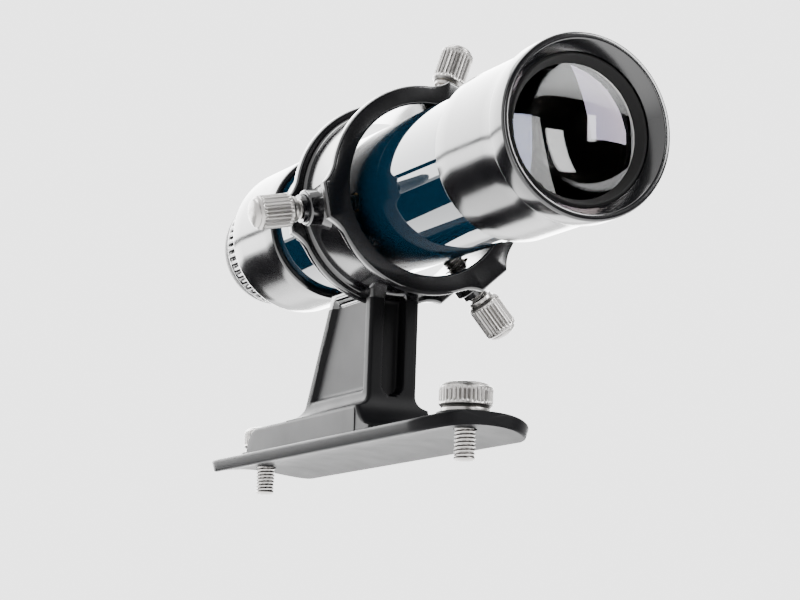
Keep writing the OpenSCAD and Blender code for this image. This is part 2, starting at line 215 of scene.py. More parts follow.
def grid_faces(rows, columns, close_rows, close_columns):
    """Quads of a grid of points, as an array of four indices each, wrapping round where a direction is closed."""
    i = np.arange(rows if close_rows else rows - 1)[:, None]
    j = np.arange(columns if close_columns else columns - 1)[None, :]
    i2, j2 = (i + 1) % rows, (j + 1) % columns
    return np.stack(np.broadcast_arrays(i * columns + j, i2 * columns + j, i2 * columns + j2, i * columns + j2),
                    -1).reshape(-1, 4)


def spin(outline, turns, cut=None):
    """Surface of revolution: the outline's point (r, h) at angle t goes to (r cos t, r sin t, h).

    cut(r, h, t), if given, returns the radius with knurls or threads cut into it.
    """
    t = np.linspace(0, 2 * math.pi, turns, endpoint=False)[:, None]
    shape = (turns, len(outline))
    r, h = np.broadcast_to(outline[:, 0], shape), np.broadcast_to(outline[:, 1], shape)
    if cut is not None:
        r = cut(r, h, t)
    points = np.stack([r * np.cos(t), r * np.sin(t), h], -1)
    return points.reshape(-1, 3), grid_faces(turns, len(outline), True, True)


def place(surface, origin, direction):
    """Moves a surface so that its own +Z lies along direction from origin."""
    points, faces = surface
    turn = np.array(Vector(direction).to_track_quat("Z", "Y").to_matrix())
    return points @ turn.T + np.asarray(origin), faces


def optical(surface):
    """Lays a surface along the optical axis: (x, y, h) goes to (x, h, axis - y), so its heights run along Y."""
    points, faces = surface
    return np.stack([points[:, 0], points[:, 2], AXIS_Z - points[:, 1]], -1), faces


def fill_mesh(mesh, parts):
    """Puts one or more surfaces into a mesh, closes their seams and poles, and points the faces outwards."""
    points, faces, start = [], [], 0
    for p, f in parts:
        points.append(p)
        faces += [[k + start for k in face] for face in np.asarray(f, dtype=object).tolist()]
        start += len(p)
    mesh.from_pydata((np.concatenate(points) * MM).tolist(), [], faces)
    work = bmesh.new()
    work.from_mesh(mesh)
    bmesh.ops.remove_doubles(work, verts=work.verts, dist=1e-7)
    bmesh.ops.dissolve_degenerate(work, edges=work.edges, dist=1e-8)
    bmesh.ops.recalc_face_normals(work, faces=work.faces)
    work.to_mesh(mesh)
    work.free()


def new_object(name, parts):
    """Object at the origin made of the given surfaces."""
    mesh = bpy.data.meshes.new(name)
    fill_mesh(mesh, parts)
    piece = bpy.data.objects.new(name, mesh)
    bpy.context.scene.collection.objects.link(piece)
    return piece


def face_centres(mesh):
    """Middles of a mesh's faces, in millimetres, one row each."""
    centre = np.empty(len(mesh.polygons) * 3)
    mesh.polygons.foreach_get("center", centre)
    return centre.reshape(-1, 3) / MM


def smooth(piece, degrees=35):
    """Smooth shading except across edges sharper than the given angle."""
    piece.data.polygons.foreach_set("use_smooth", np.ones(len(piece.data.polygons), bool))
    piece.data.set_sharp_from_angle(angle=math.radians(degrees))


def finish_piece(piece, body, materials, nodes):
    """Gives a piece its finishes, and says which body it rides on and which CAD nodes it stands for."""
    for material in materials:
        piece.data.materials.append(material)
    smooth(piece)
    if nodes:
        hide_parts(*nodes)
    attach(piece, body)
    return piece


# ---------------------------------------------------------------- finishes

def linear(hex_colour):
    """sRGB hex to linear RGBA: the piecewise sRGB curve, channel by channel."""
    c = np.array([int(hex_colour[i:i + 2], 16) for i in (1, 3, 5)]) / 255
    c = np.where(c <= 0.04045, c / 12.92, ((c + 0.055) / 1.055) ** 2.4)
    return (*c.tolist(), 1.0)


def add(tree, kind, inputs=None, **settings):
    """Adds a node, sets its properties, and sets or links its inputs: a socket as a value is a link."""
    node = tree.nodes.new(kind)
    for key, value in settings.items():
        setattr(node, key, value)
    for key, value in (inputs or {}).items():
        if isinstance(value, bpy.types.NodeSocket):
            tree.links.new(value, node.inputs[key])
        else:
            node.inputs[key].default_value = value
    return node


def shader(name, inputs):
    """New material with one Principled shader: returns the material, its tree and the shader node."""
    material = bpy.data.materials.get(name)
    if material:
        return material, None, None
    material = bpy.data.materials.new(name)
    material.use_nodes = True
    tree = material.node_tree
    node = tree.nodes["Principled BSDF"]
    for key, value in inputs.items():
        node.inputs[key].default_value = value
    return material, tree, node


def per_mm(size):
    """Scale of a pattern on Object coordinates whose feature is size millimetres."""
    return 1 / (size * MM)


def object_noise(tree, size, detail):
    """Noise on Object coordinates with features of the given size in millimetres."""
    place_in = add(tree, "ShaderNodeTexCoord").outputs["Object"]
    return add(tree, "ShaderNodeTexNoise", {"Vector": place_in, "Scale": per_mm(size), "Detail": detail})


def relief(tree, node, size, detail, strength, height, socket="Normal"):
    """Bump from noise: features of the given size in millimetres, height in metres."""
    noise = object_noise(tree, size, detail)
    bump = add(tree, "ShaderNodeBump", {"Height": noise.outputs["Fac"], "Strength": strength, "Distance": height})
    tree.links.new(bump.outputs["Normal"], node.inputs[socket])


def uneven_gloss(tree, node, size, detail, low, high):
    """Roughness that wanders between low and high over the given size in millimetres."""
    noise = object_noise(tree, size, detail)
    spread = add(tree, "ShaderNodeMapRange", {"Value": noise.outputs["Fac"], "To Min": low, "To Max": high})
    tree.links.new(spread.outputs["Result"], node.inputs["Roughness"])


def gloss_abs():
    """ABS, injection moulded in a polished tool: deep gloss with a faint orange peel and slightly uneven sheen."""
    material, tree, node = shader("gloss_black_abs", {"Base Color": linear(colours().black), "IOR": 1.48})
    if tree:
        relief(tree, node, 1.6, 1.0, 0.05, 0.00004)
        uneven_gloss(tree, node, 9, 3.0, 0.09, 0.19)
    return material


def grained_abs():
    """The same ABS where the tool is spark-eroded: a fine even grain that takes most of the gloss away."""
    material, tree, node = shader("grained_black_abs", {
        "Base Color": linear(colours().black), "IOR": 1.48, "Specular IOR Level": 0.05})
    if tree:
        relief(tree, node, 0.3, 2.0, 0.15, 0.00005)
        uneven_gloss(tree, node, 7, 3.0, 0.36, 0.5)
    return material


def blue_enamel():
    """Stoved enamel on drawn aluminium tube: dark blue under a clear gloss, with fine flake in the colour."""
    material, tree, node = shader("blue_enamel", {
        "Roughness": 0.32, "IOR": 1.5, "Coat Weight": 1.0, "Coat Roughness": 0.03, "Coat IOR": 1.45,
        "Specular IOR Level": 0.0})
    if tree:
        flake_size, light, dark = 0.35, 1.35, 0.75
        place_in = add(tree, "ShaderNodeTexCoord").outputs["Object"]
        flake = add(tree, "ShaderNodeTexVoronoi", {"Vector": place_in, "Scale": per_mm(flake_size)})
        base = np.array(linear(colours().blue)[:3])
        # sockets 6 and 7 of a colour mix are its two colours, and output 2 is the result
        colour = add(tree, "ShaderNodeMix", {
            "Factor": flake.outputs["Distance"], 6: (*(base * light).tolist(), 1.0),
            7: (*(base * dark).tolist(), 1.0)}, data_type="RGBA")
        tree.links.new(colour.outputs[2], node.inputs["Base Color"])
        relief(tree, node, 3.0, 2.0, 0.04, 0.00004, "Coat Normal")
    return material


def nickel_plate():
    """Nickel over turned brass: satin grey, with fine tool marks that soften its reflections."""
    material, tree, node = shader("nickel_plate", {"Base Color": linear(colours().nickel), "Metallic": 1.0})
    if tree:
        uneven_gloss(tree, node, 0.4, 4.0, 0.24, 0.42)
        relief(tree, node, 0.4, 4.0, 0.08, 0.00003)
    return material


def matt_black():
    """Matt black lacquer inside the tube: almost no reflection, a little grain."""
    material, tree, node = shader("matt_black_lacquer", {
        "Base Color": linear(colours().inside), "Roughness": 0.85, "Specular IOR Level": 0.2})
    if tree:
        relief(tree, node, 0.5, 2.0, 0.2, 0.00005)
    return material


def soft_rubber():
    """Moulded synthetic rubber: dull, with a soft bloom and a fine grain."""
    material, tree, node = shader("soft_rubber", {"Base Color": linear(colours().rubber), "IOR": 1.5})
    if tree:
        relief(tree, node, 0.35, 3.0, 0.25, 0.00006)
        uneven_gloss(tree, node, 6, 3.0, 0.52, 0.74)
    return material


def turned_brass():
    """Free-cutting brass, turned and left bare: warm yellow with fine concentric tool marks."""
    material, tree, node = shader("turned_brass", {"Base Color": linear(colours().brass), "Metallic": 1.0})
    if tree:
        uneven_gloss(tree, node, 0.3, 3.0, 0.22, 0.42)
    return material


def coated_glass():
    """Crown glass with a magnesium fluoride coating: clear, with a faint blue-violet in its reflections."""
    return shader("coated_glass", {
        "Base Color": linear("#ffffff"), "Roughness": 0.0, "IOR": 1.52, "Transmission Weight": 1.0,
        "Thin Film Thickness": 110.0, "Thin Film IOR": 1.38})[0]


def bloomed_glass():
    """The inner glass faces, whose full coating takes away nearly all reflection."""
    return shader("bloomed_glass", {
        "Base Color": linear("#ffffff"), "Roughness": 0.0, "IOR": 1.52, "Transmission Weight": 1.0,
        "Specular IOR Level": 0.08})[0]


def black_cloth():
    """Black velvet on the studio's cards: no gloss at all."""
    return shader("black_velvet", {"Base Color": linear("#020202"), "Roughness": 1.0, "Specular IOR Level": 0.0})[0]


def floor_finish():
    """Matt white paper under the piece."""
    return shader("studio_floor", {"Base Color": linear(colours().floor), "Roughness": 0.6})[0]


# ---------------------------------------------------------------- tube and objective

class FINDER_OT_tube(bpy.types.Operator):
    """Painted tube, black inside"""

    bl_idname = "finder.tube"
    bl_label = "Tube"

    def execute(self, context):
        y0, y1 = TUBE_LOW[1], TUBE_HIGH[1]
        wall = 1.0
        outline = dense(rounded([(TUBE_R - wall, y0), (TUBE_R, y0), (TUBE_R, y1), (TUBE_R - wall, y1)], 0.15), 6)
        piece = new_object("tube_painted", [optical(spin(outline, sizes().turns))])
        finish_piece(piece, "tube_body", [blue_enamel(), matt_black()], ["main_tube"])
        centre = face_centres(piece.data)
        inner = np.hypot(centre[:, 0], centre[:, 2] - AXIS_Z) < TUBE_R - wall / 2
        piece.data.polygons.foreach_set("material_index", inner.astype(np.int32))  # black inside
        return {"FINISHED"}


class FINDER_OT_cell(bpy.types.Operator):
    """Objective cell: front lip, sleeve and lens seat"""

    bl_idname = "finder.cell"
    bl_label = "Objective cell"

    def execute(self, context):
        s = sizes()
        y0, y1 = CELL_LOW[1], CELL_HIGH[1]
        seat = FLINT_LOW[1] + 2.0
        lens_front = y0 + 5.0
        tube_stop, step, thread_depth, thread_len = y0 + 10.8, 0.9, 0.6, 2.4
        outline = rounded([
            (LIP_R - 1.2, y0), (LIP_R, y0), (LIP_R, y0 + s.lip_len), (s.sleeve_r, y0 + s.lip_len),
            (s.sleeve_r, y1), (TUBE_R, y1), (TUBE_R, tube_stop), (TUBE_R - step, tube_stop),
            (TUBE_R - step, seat + step), (LENS_R - 0.8, seat + step), (LENS_R - 0.8, seat), (LENS_R, seat),
            (LENS_R, lens_front), (LENS_R + thread_depth, lens_front),
            (LENS_R + thread_depth, lens_front - thread_len)],
            [0.45, 0.5, 0.35, 0.12, 0.35, 0.1, 0.1, 0.1, 0.1, 0.1, 0.1, 0.1, 0.1, 0.1, 0.1])
        piece = new_object("objective_cell_moulding", [optical(spin(dense(outline, 5), s.turns))])
        finish_piece(piece, "tube_body", [gloss_abs()], ["objective_cell"])
        return {"FINISHED"}


class FINDER_OT_retainer(bpy.types.Operator):
    """Threaded ring that holds the objective, with a spanner slot each side"""

    bl_idname = "finder.retainer"
    bl_label = "Objective retaining ring"

    def execute(self, context):
        low, high = box_mm("objective_retainer")
        y0, y1 = low[1], high[1]
        r_out, r_in = (high[0] - low[0]) / 2, LENS_R - 1.0
        outline = rounded([(r_out - 0.5, y0), (r_out, y0 + 0.6), (r_out, y1), (r_in, y1), (r_in, y1 - 0.5)],
                          [0.15, 0.1, 0.1, 0.1, 0.12])
        slot_half = 0.6

        def slotted(r, h, t):
            """Two radial slots: within slot_half of the X axis the ring's slope drops back to its bore."""
            near = np.abs(r * np.sin(t)) < slot_half
            return np.where(near & (h < y0 + 1.2) & (r > r_in + 0.2), np.minimum(r, r_out - 0.02), r)

        piece = new_object("objective_ring", [optical(spin(dense(outline, 0.5), sizes().turns, slotted))])
        finish_piece(piece, "tube_body", [matt_black()], ["objective_retainer"])
        return {"FINISHED"}


def lens_outline(radius, edge_front, edge_back, curve_front, curve_back, steps=28):
    """Half section of a lens: two circular arcs through its edge.

    At distance x from the axis a surface of radius R stands sqrt(R^2 - x^2) - sqrt(R^2 - edge^2) beyond its edge,
    forwards for a positive curve_front and backwards for a positive curve_back. Zero is a flat face.
    """
    def stand(curve, x):
        if curve == 0:
            return np.zeros_like(x)
        return math.copysign(1, curve) * (np.sqrt(curve ** 2 - x ** 2) - math.sqrt(curve ** 2 - radius ** 2))

    x = radius * np.sin(np.linspace(0, math.pi / 2, steps))
    front = np.stack([x, edge_front - stand(curve_front, x)], -1)
    back = np.stack([x, edge_back + stand(curve_back, x)], -1)[::-1]
    return np.concatenate([front, back])


class FINDER_OT_lenses(bpy.types.Operator):
    """Objective pair and the two eyepiece lenses"""

    bl_idname = "finder.lenses"
    bl_label = "Lenses"

    def execute(self, context):
        crown_back_curve, crown_edge, flint_edge = 46.0, 1.7, 2.2
        y_edge = CELL_LOW[1] + 5.0
        flint_front = y_edge + crown_edge + 0.3
        field_low = box_mm("field_lens")[0]
        eye_low, eye_high = box_mm("eye_lens")
        r_eye = (eye_high[0] - eye_low[0]) / 2
        flat_edge = 1.6
        rows = [
            ("crown_glass", "crown_lens", "tube_body",
             lens_outline(LENS_R, y_edge, y_edge + crown_edge, 62.0, crown_back_curve)),
            ("flint_glass", "flint_lens", "tube_body",
             lens_outline(LENS_R, flint_front, flint_front + flint_edge, -crown_back_curve, 0)),
            ("field_glass", "field_lens", "eyepiece_optics",
             lens_outline(r_eye, field_low[1], field_low[1] + flat_edge, 0, 22.0)),
            ("eye_glass", "eye_lens", "eyepiece_optics",
             lens_outline(r_eye, eye_low[1], eye_high[1], 0, 0)),
        ]
        for name, node, body, outline in rows:
            piece = new_object(name, [optical(spin(outline, sizes().turns))])
            crown = node == "crown_lens"
            finish_piece(piece, body, [coated_glass(), bloomed_glass()] if crown else [bloomed_glass()],
                         [node])
            if crown:
                behind = face_centres(piece.data)[:, 1] > y_edge + crown_edge
                piece.data.polygons.foreach_set("material_index", behind.astype(np.int32))
        return {"FINISHED"}


# ---------------------------------------------------------------- rear collar and eyepiece

class FINDER_OT_collar(bpy.types.Operator):
    """Rear collar that carries the focusing thread"""

    bl_idname = "finder.collar"
    bl_label = "Rear collar"

    def execute(self, context):
        y0, y1 = COLLAR_LOW[1], COLLAR_HIGH[1]
        bore = sizes().barrel_r + 0.05
        tube_end = TUBE_HIGH[1]
        outline = rounded([
            (TUBE_R, y0), (COLLAR_R, y0), (COLLAR_R, y1), (bore, y1), (bore, tube_end + 0.6),
            (TUBE_R - 2, tube_end + 0.6), (TUBE_R - 2, tube_end), (TUBE_R, tube_end)],
            [0.15, 0.5, 1.2, 0.3, 0.1, 0.1, 0.1, 0.1])
        piece = new_object("collar_moulding", [optical(spin(dense(outline, 5), sizes().turns))])
        finish_piece(piece, "tube_body", [gloss_abs()], ["rear_collar"])
        return {"FINISHED"}


class FINDER_OT_eyepiece(bpy.types.Operator):
    """Focusing barrel with its ribbed grip, and the rubber eyecup"""

    bl_idname = "finder.eyepiece"
    bl_label = "Eyepiece"

    def execute(self, context):
        s = sizes()
        y0, y3 = BARREL_LOW[1], BARREL_HIGH[1]
        y2 = y3 - 8.0
        bore = s.barrel_r - 1.55
        lip = bore - 1.45
        focus_pitch = 1.5
        outline = rounded([
            (lip, y0), (s.barrel_r, y0), (s.barrel_r, y2), (GRIP_R, y2), (GRIP_R, y3), (bore, y3),
            (bore, y0 + 2.95), (lip, y0 + 2.95)], [0.1, 0.4, 0.1, 0.6, 0.6, 0.2, 0.1, 0.1])

        def ribbed(r, h, t):
            """Thread on the barrel (a triangle wave of h / pitch - t / 2 pi) and V grooves along the grip."""
            turn = (h - y0) / focus_pitch - t / (2 * math.pi)
            thread = 0.35 * np.abs(2 * (turn - np.floor(turn + 0.5)))
            on_thread = (np.abs(r - s.barrel_r) < 0.02) & (h > y0 + 0.6) & (h < y2 - 0.3)
            groove = 0.45 * np.clip(1 - 2.2 * np.abs(np.mod(t * s.grip_ribs / (2 * math.pi), 1) - 0.5), 0, 1) ** 2
            fade = np.clip((h - y2 - 0.9) / 0.5, 0, 1) * np.clip((y3 - 0.9 - h) / 0.5, 0, 1)
            on_grip = (r > GRIP_R - 0.02).astype(float)
            return r - np.where(on_thread, thread, 0) - groove * fade * on_grip

        fine = 0.22
        barrel = new_object("eyepiece_barrel_moulding",
                            [optical(spin(dense(outline, fine * 2), s.grip_ribs * 6, ribbed))])
        finish_piece(barrel, "eyepiece_shell", [gloss_abs()], ["eyepiece_barrel"])
        e0, e1 = EYECUP_LOW[1], EYECUP_HIGH[1]
        r = (EYECUP_HIGH[0] - EYECUP_LOW[0]) / 2
        cup = rounded([
            (6.5, e0), (r, e0), (r, e0 + 1.6), (r - 0.5, e0 + 3.6), (r - 1.2, e1), (r - 2.4, e1), (r - 2.9, e0 + 3),
            (8, e0 + 1.8), (6.5, e0 + 1.6)], [0.1, 0.25, 0.8, 0.8, 0.5, 0.5, 1.0, 0.8, 0.3])
        piece = new_object("eyecup_rubber", [optical(spin(dense(cup, 2), s.turns))])
        finish_piece(piece, "eyepiece_shell", [soft_rubber()], ["eyecup"])
        return {"FINISHED"}


# ---------------------------------------------------------------- bracket

def sweep_closed(section, stations):
    """Solid carried along a path: section(u) gives a closed outline for each station as rows of x, y, z, and the two
    end outlines are closed with fans to their middles."""
    rings = np.stack([section(u) for u in stations])
    rows, columns = rings.shape[:2]
    points = rings.reshape(-1, 3)
    faces = grid_faces(rows, columns, False, True).tolist()
    for row, turn in ((0, -1), (rows - 1, 1)):
        k = np.arange(columns) + row * columns
        middle = len(points)
        points = np.concatenate([points, rings[row].mean(0, keepdims=True)])
        faces += np.stack([k, np.roll(k, -turn), np.full(columns, middle)], -1).tolist()
    return points, faces


def flange_reach(t, angles, r, half, fillet, top):
    """Radius of a flange's rim at angle t: a circle of radius r, which a concave fillet of the given radius lifts
    into each boss, whose side is half from its middle line and whose face is top from the centre.

    The fillet's circle has its middle at distance half + fillet from the boss's middle line and touches the rim's
    circle from outside. The ray at angle d from the boss meets its near side at r = c cos(d - e) -
    sqrt(fillet^2 - c^2 sin^2(d - e)), with c and e that middle's distance and angle.
    """
    c = r + fillet
    e = math.asin((half + fillet) / c)
    reach = np.full_like(t, r)
    for angle in angles:
        d = np.abs((t - angle + math.pi) % (2 * math.pi) - math.pi)
        inside = fillet ** 2 - (c * np.sin(d - e)) ** 2
        arc = c * np.cos(d - e) - np.sqrt(np.clip(inside, 0, None))
        side = np.where(np.sin(d) > 1e-4, half / np.maximum(np.sin(d), 1e-4), 1e3)
        face = top / np.maximum(np.cos(d), 0.1)
        near_arc = np.where((d < e) & (inside > 0), arc, r)
        boss = np.minimum(np.where(d < math.pi / 2, np.maximum(near_arc, np.where(side > top, face, r)), r), face)
        reach = np.maximum(reach, np.where(d < e, boss, r))
    return reach


def channel_ring(s):
    """Ring with two thin flanges: at each angle its section is a rounded U between the bore and the flanges' rim."""
    t = np.linspace(0, 2 * math.pi, 360, endpoint=False)
    angles = [math.atan2(v[2], v[0]) for v in SCREWS.values()]
    rim = flange_reach(t, angles, s.flange_r, s.flare_half, s.flare_fillet, s.boss_top - 0.4)
    half, web, bore, thick = s.ring_w / 2, s.web_r, s.ring_bore / 2, s.flange_t
    base = np.array([(bore, -half), (1, -half), (1, -half + thick), (web, -half + thick), (web, half - thick),
                     (1, half - thick), (1, half), (bore, half)])
    radii = [0.5, 0.6, 0.6, 1.0, 1.0, 0.6, 0.6, 0.5]
    low = base.copy()
    low[[1, 2, 5, 6], 0] = s.flange_r
    high = base.copy()
    high[[1, 2, 5, 6], 0] = s.flange_r + 4
    near, far = rounded(low, radii, 6), rounded(high, radii, 6)
    slope = (far - near) / 4
    lift = (rim - s.flange_r)[:, None]
    r = near[None, :, 0] + lift * slope[None, :, 0]
    h = near[None, :, 1] + lift * slope[None, :, 1]
    points = np.stack([r * np.cos(t)[:, None], h + RING_Y, AXIS_Z + r * np.sin(t)[:, None]], -1)
    return points.reshape(-1, 3), grid_faces(len(t), near.shape[0], True, True).tolist()


def boss(s, out):
    """Round boss for one screw: a short turned post with a rounded face and a flared foot on the web."""
    outline = rounded([(s.insert_r, s.ring_bore / 2 + 0.9), (s.boss_r + 1.2, s.ring_bore / 2 + 0.9),
                       (s.boss_r + 0.05, s.web_r + 1.3), (s.boss_r, s.boss_top), (s.insert_r, s.boss_top)],
                      [0.1, 0.1, 0.9, 0.5, 0.15])
    points, faces = place(spin(outline, 96), np.array([0, RING_Y, AXIS_Z]), out)
    return points, faces.tolist()


def stalk(s):
    """Stalk: level sections from the foot to the ring, each a rounded rectangle.

    Its front face is upright and its back slopes. Near the root every side sweeps out by a quarter circle,
    r - sqrt(r^2 - (r - h)^2) at height h. The sides sink by the pocket's depth times a smooth bump across and along,
    and the front by the groove's depth times a bump across and a rounded end.
    """
    z0, z1 = s.foot_t - 1.0, AXIS_Z - s.ring_bore / 2 - 0.2
    z = np.concatenate([np.linspace(z0, s.block_h + 3, 20), np.linspace(s.block_h + 3.4, z1, 66)])
    front = RING_Y + s.stalk_front
    slope = (s.stalk_foot_len - s.stalk_top_len) / (z1 - s.foot_t)

    def step(x, soft):
        return 0.5 + 0.5 * np.tanh(x / soft)

    def section(height):
        lift = max(height - s.block_h, 0.0)
        side = s.side_sweep - math.sqrt(max(s.side_sweep ** 2 - max(s.side_sweep - lift, 0) ** 2, 0))
        rise = max(height - s.foot_t, 0.0)
        toe = s.front_sweep - math.sqrt(max(s.front_sweep ** 2 - max(s.front_sweep - rise, 0) ** 2, 0))
        back = front + s.stalk_foot_len - slope * (height - s.foot_t)
        half = s.stalk_w / 2 + side
        outline = divided(rounded([(-half, front - toe), (half, front - toe), (half, back + side),
                                   (-half, back + side)], 0.8), long_sides([48, 64, 8, 64]))
        x, y = outline[:, 0], outline[:, 1]
        up = step(height - s.block_h - 3.4, 0.35) * step(z1 - 1.4 - height, 0.35)
        along = step(y - front - 2.9, 0.3) * step(back - 2.9 - y, 0.3)
        on_side = np.abs(np.abs(x) - half) < 0.02
        x = np.where(on_side, x - np.sign(x) * s.pocket * along * up, x)
        tip = s.foot_t + 9.0
        reach = np.where(height > tip, s.groove_w / 2,
                         np.sqrt(np.clip((s.groove_w / 2) ** 2 - (tip - height) ** 2, 0, None)))
        across = step(reach - np.abs(x) - 0.1, 0.16) * (reach > 0.2) * step(z1 - 2.2 - height, 0.4)
        on_front = np.abs(y - (front - toe)) < 0.02
        y = np.where(on_front, y + s.groove_depth * across, y)
        return np.column_stack([x, y, np.full(len(x), height)])

    return sweep_closed(section, z)


def saddle_plate(s):
    """Foot plate: a strip bent to the telescope tube's radius R and rounded at both ends.

    At distance x from the middle line its underside stands at sqrt(R^2 - x^2) - R and its top a plate's thickness
    further out from the same centre. Its half width at distance v from either end is w - r + sqrt(r^2 - (r - v)^2).
    """
    r, w, length, big = s.corner_r, s.foot_w / 2, s.foot_len, s.saddle_r
    a = np.linspace(0, math.pi / 2, 22)[1:]
    ends = r * (1 - np.cos(a))
    y = np.concatenate([-length / 2 + ends, np.linspace(-length / 2 + r, length / 2 - r, 60)[1:-1],
                        length / 2 - ends[::-1]])

    def section(v):
        gap = min(length / 2 - abs(v), r)
        half = w - r + math.sqrt(max(r ** 2 - (r - gap) ** 2, 0))
        edge = divided(rounded([(-half, 0), (half, 0), (half, s.foot_t), (-half, s.foot_t)], 0.55),
                       long_sides([24, 2, 24, 2]))
        lean = edge[:, 0] / (big + s.foot_t / 2)
        x = (big + edge[:, 1]) * np.sin(lean)
        return np.column_stack([x, np.full(len(x), v), (big + edge[:, 1]) * np.cos(lean) - big])

    return sweep_closed(section, y)


def root_block(s):
    """Block round the stalk's root, with its back end rounded over by a quarter circle and soft long edges."""
    front = RING_Y + s.stalk_front
    end = front + s.stalk_foot_len + s.block_len
    half = (s.foot_w - 8) / 2
    a = np.linspace(0, math.pi / 2, 14)
    round_r, edge = 5.0, 0.8
    y = np.concatenate([front + edge * (1 - np.cos(a)), np.linspace(front + edge, end - round_r, 40)[1:],
                        end - round_r + round_r * np.sin(a)[1:]])
    top = np.where(y > end - round_r,
                   s.block_h - round_r + np.sqrt(np.clip(round_r ** 2 - (y - end + round_r) ** 2, 0, None)),
                   np.where(y < front + edge,
                            s.block_h - edge + np.sqrt(np.clip(edge ** 2 - (front + edge - y) ** 2, 0, None)),
                            s.block_h))

    def section(i):
        high = max(top[i], 1.4)
        outline = rounded([(-half, 0.4), (half, 0.4), (half, high), (-half, high)],
                          [0.1, 0.1, min(edge, (high - 0.4) / 2.2), min(edge, (high - 0.4) / 2.2)], 6)
        return np.column_stack([outline[:, 0], np.full(len(outline), y[i]), outline[:, 1]])

    return sweep_closed(section, range(len(y)))


def rib(s, out):
    """Thin rib from flange to flange through a boss, its outline a rounded rectangle swept along the tube."""
    half, top = 1.3, s.boss_top - 1.6
    outline = rounded([(-half, s.ring_bore / 2 + 0.6), (half, s.ring_bore / 2 + 0.6), (half, top), (-half, top)],
                      [0.1, 0.1, 0.5, 0.5], 5)
    across = np.array([out[2], 0, -out[0]])
    middle = np.array([0, RING_Y, AXIS_Z])

    def section(y):
        return middle + outline[:, :1] * across + outline[:, 1:] * out + np.array([0, y, 0])

    reach = s.ring_w / 2 - 0.5
    return sweep_closed(section, [-reach, reach])


def post(radius, low, high, at, out, steps=96):
    """Plain cylinder along out from at, its ends closed."""
    outline = np.array([(0, low), (radius, low), (radius, high), (0, high)], float)
    return place(spin(outline, steps), np.asarray(at, float), out)


def combine(base, others, operation):
    """Joins or cuts whole solids with exact Boolean operations, and leaves the result in the base's mesh."""
    for other in others:
        step = base.modifiers.new(operation.lower(), "BOOLEAN")
        step.operation, step.solver, step.object = operation, "EXACT", other
    graph = bpy.context.evaluated_depsgraph_get()
    result = bpy.data.meshes.new_from_object(base.evaluated_get(graph))
    base.modifiers.clear()
    old = base.data
    base.data = result
    bpy.data.meshes.remove(old)
    for other in others:
        mesh = other.data
        bpy.data.objects.remove(other)
        bpy.data.meshes.remove(mesh)


class FINDER_OT_bracket(bpy.types.Operator):
    """Moulded bracket: channel ring with three bosses, stalk and saddle foot"""

    bl_idname = "finder.bracket"
    bl_label = "Bracket"

    def execute(self, context):
        s = bracket_sizes()
        centre = np.array([0, RING_Y, AXIS_Z])
        base = new_object("bracket_moulding", [channel_ring(s)])
        solids = [stalk(s), saddle_plate(s), root_block(s)]
        cutters = []
        for out in SCREWS.values():
            solids += [boss(s, out), rib(s, out)]
            cutters.append(post(s.insert_r, s.ring_bore / 2 - 3, s.boss_top + 1, centre, out))
        pad_r = (WASHER_HIGH[0] - WASHER_LOW[0]) / 2 + 0.9
        for end in ("front", "rear"):
            low, high = box_mm(end + "_foot_shank")
            at = np.array([0, (low[1] + high[1]) / 2, 0])
            pad = rounded([(0.5, 0.5), (pad_r, 0.5), (pad_r, WASHER_LOW[2]), (0.5, WASHER_LOW[2])],
                          [0.05, 0.05, 0.3, 0.05])
            solids.append(place(spin(pad, 72), at, (0, 0, 1)))
            cutters.append(post(2.25, -5, s.block_h, at, (0, 0, 1)))
        combine(base, [new_object("solid", [solid]) for solid in solids], "UNION")
        combine(base, [new_object("cutter", [cutter]) for cutter in cutters], "DIFFERENCE")
        finish_piece(base, "bracket_body", [gloss_abs(), grained_abs()], ["bracket"])
        below_ring = face_centres(base.data)[:, 2] < AXIS_Z - s.flange_r + 1
        base.data.polygons.foreach_set("material_index", below_ring.astype(np.int32))
        return {"FINISHED"}


# ---------------------------------------------------------------- screws

def knurled_outline(r, length, dome):
    """Half section of a knurled head: a chamfered foot, a straight side and a domed end, open along the axis."""
    a = np.linspace(0, math.pi / 2, 14)[1:]
    top = length - dome
    crown = np.stack([(r - 0.45) * np.cos(a), top + dome * np.sin(a)], -1)
    side = rounded([(0, 0), (r - 0.55, 0), (r, 0.55), (r, top - 0.35), (r - 0.45, top), (0, top)],
                   [0.05, 0.2, 0.15, 0.2, 0.1, 0.05])
    keep = (side[:, 0] > 0.3) & ((side[:, 1] < top - 0.01) | (side[:, 0] > r - 0.5))
    side = side[keep]
    steps = np.linspace(0, 1, 30)[:, None]
    gap = int(np.argmax(np.linalg.norm(np.diff(side, axis=0), axis=1)))
    long_side = side[gap] * (1 - steps) + side[gap + 1] * steps
    return np.concatenate([[(0, 0)], side[:gap], long_side, side[gap + 2:], crown])


def knurled_head(r, length, dome, ridges, depth):
    """Knurled head: the side's radius falls by depth times a rounded V between ridges, faded at both ends."""
    def knurl(radius, h, t):
        phase = np.mod(t * ridges / (2 * math.pi), 1)
        groove = depth * (0.5 + 0.5 * np.cos(2 * math.pi * phase)) ** 1.5
        fade = np.clip((h - 0.75) / 0.5, 0, 1) * np.clip((length - dome - 0.6 - h) / 0.5, 0, 1)
        return radius - groove * fade * (radius > r - 0.05)

    return spin(knurled_outline(r, length, dome), ridges * 8, knurl)


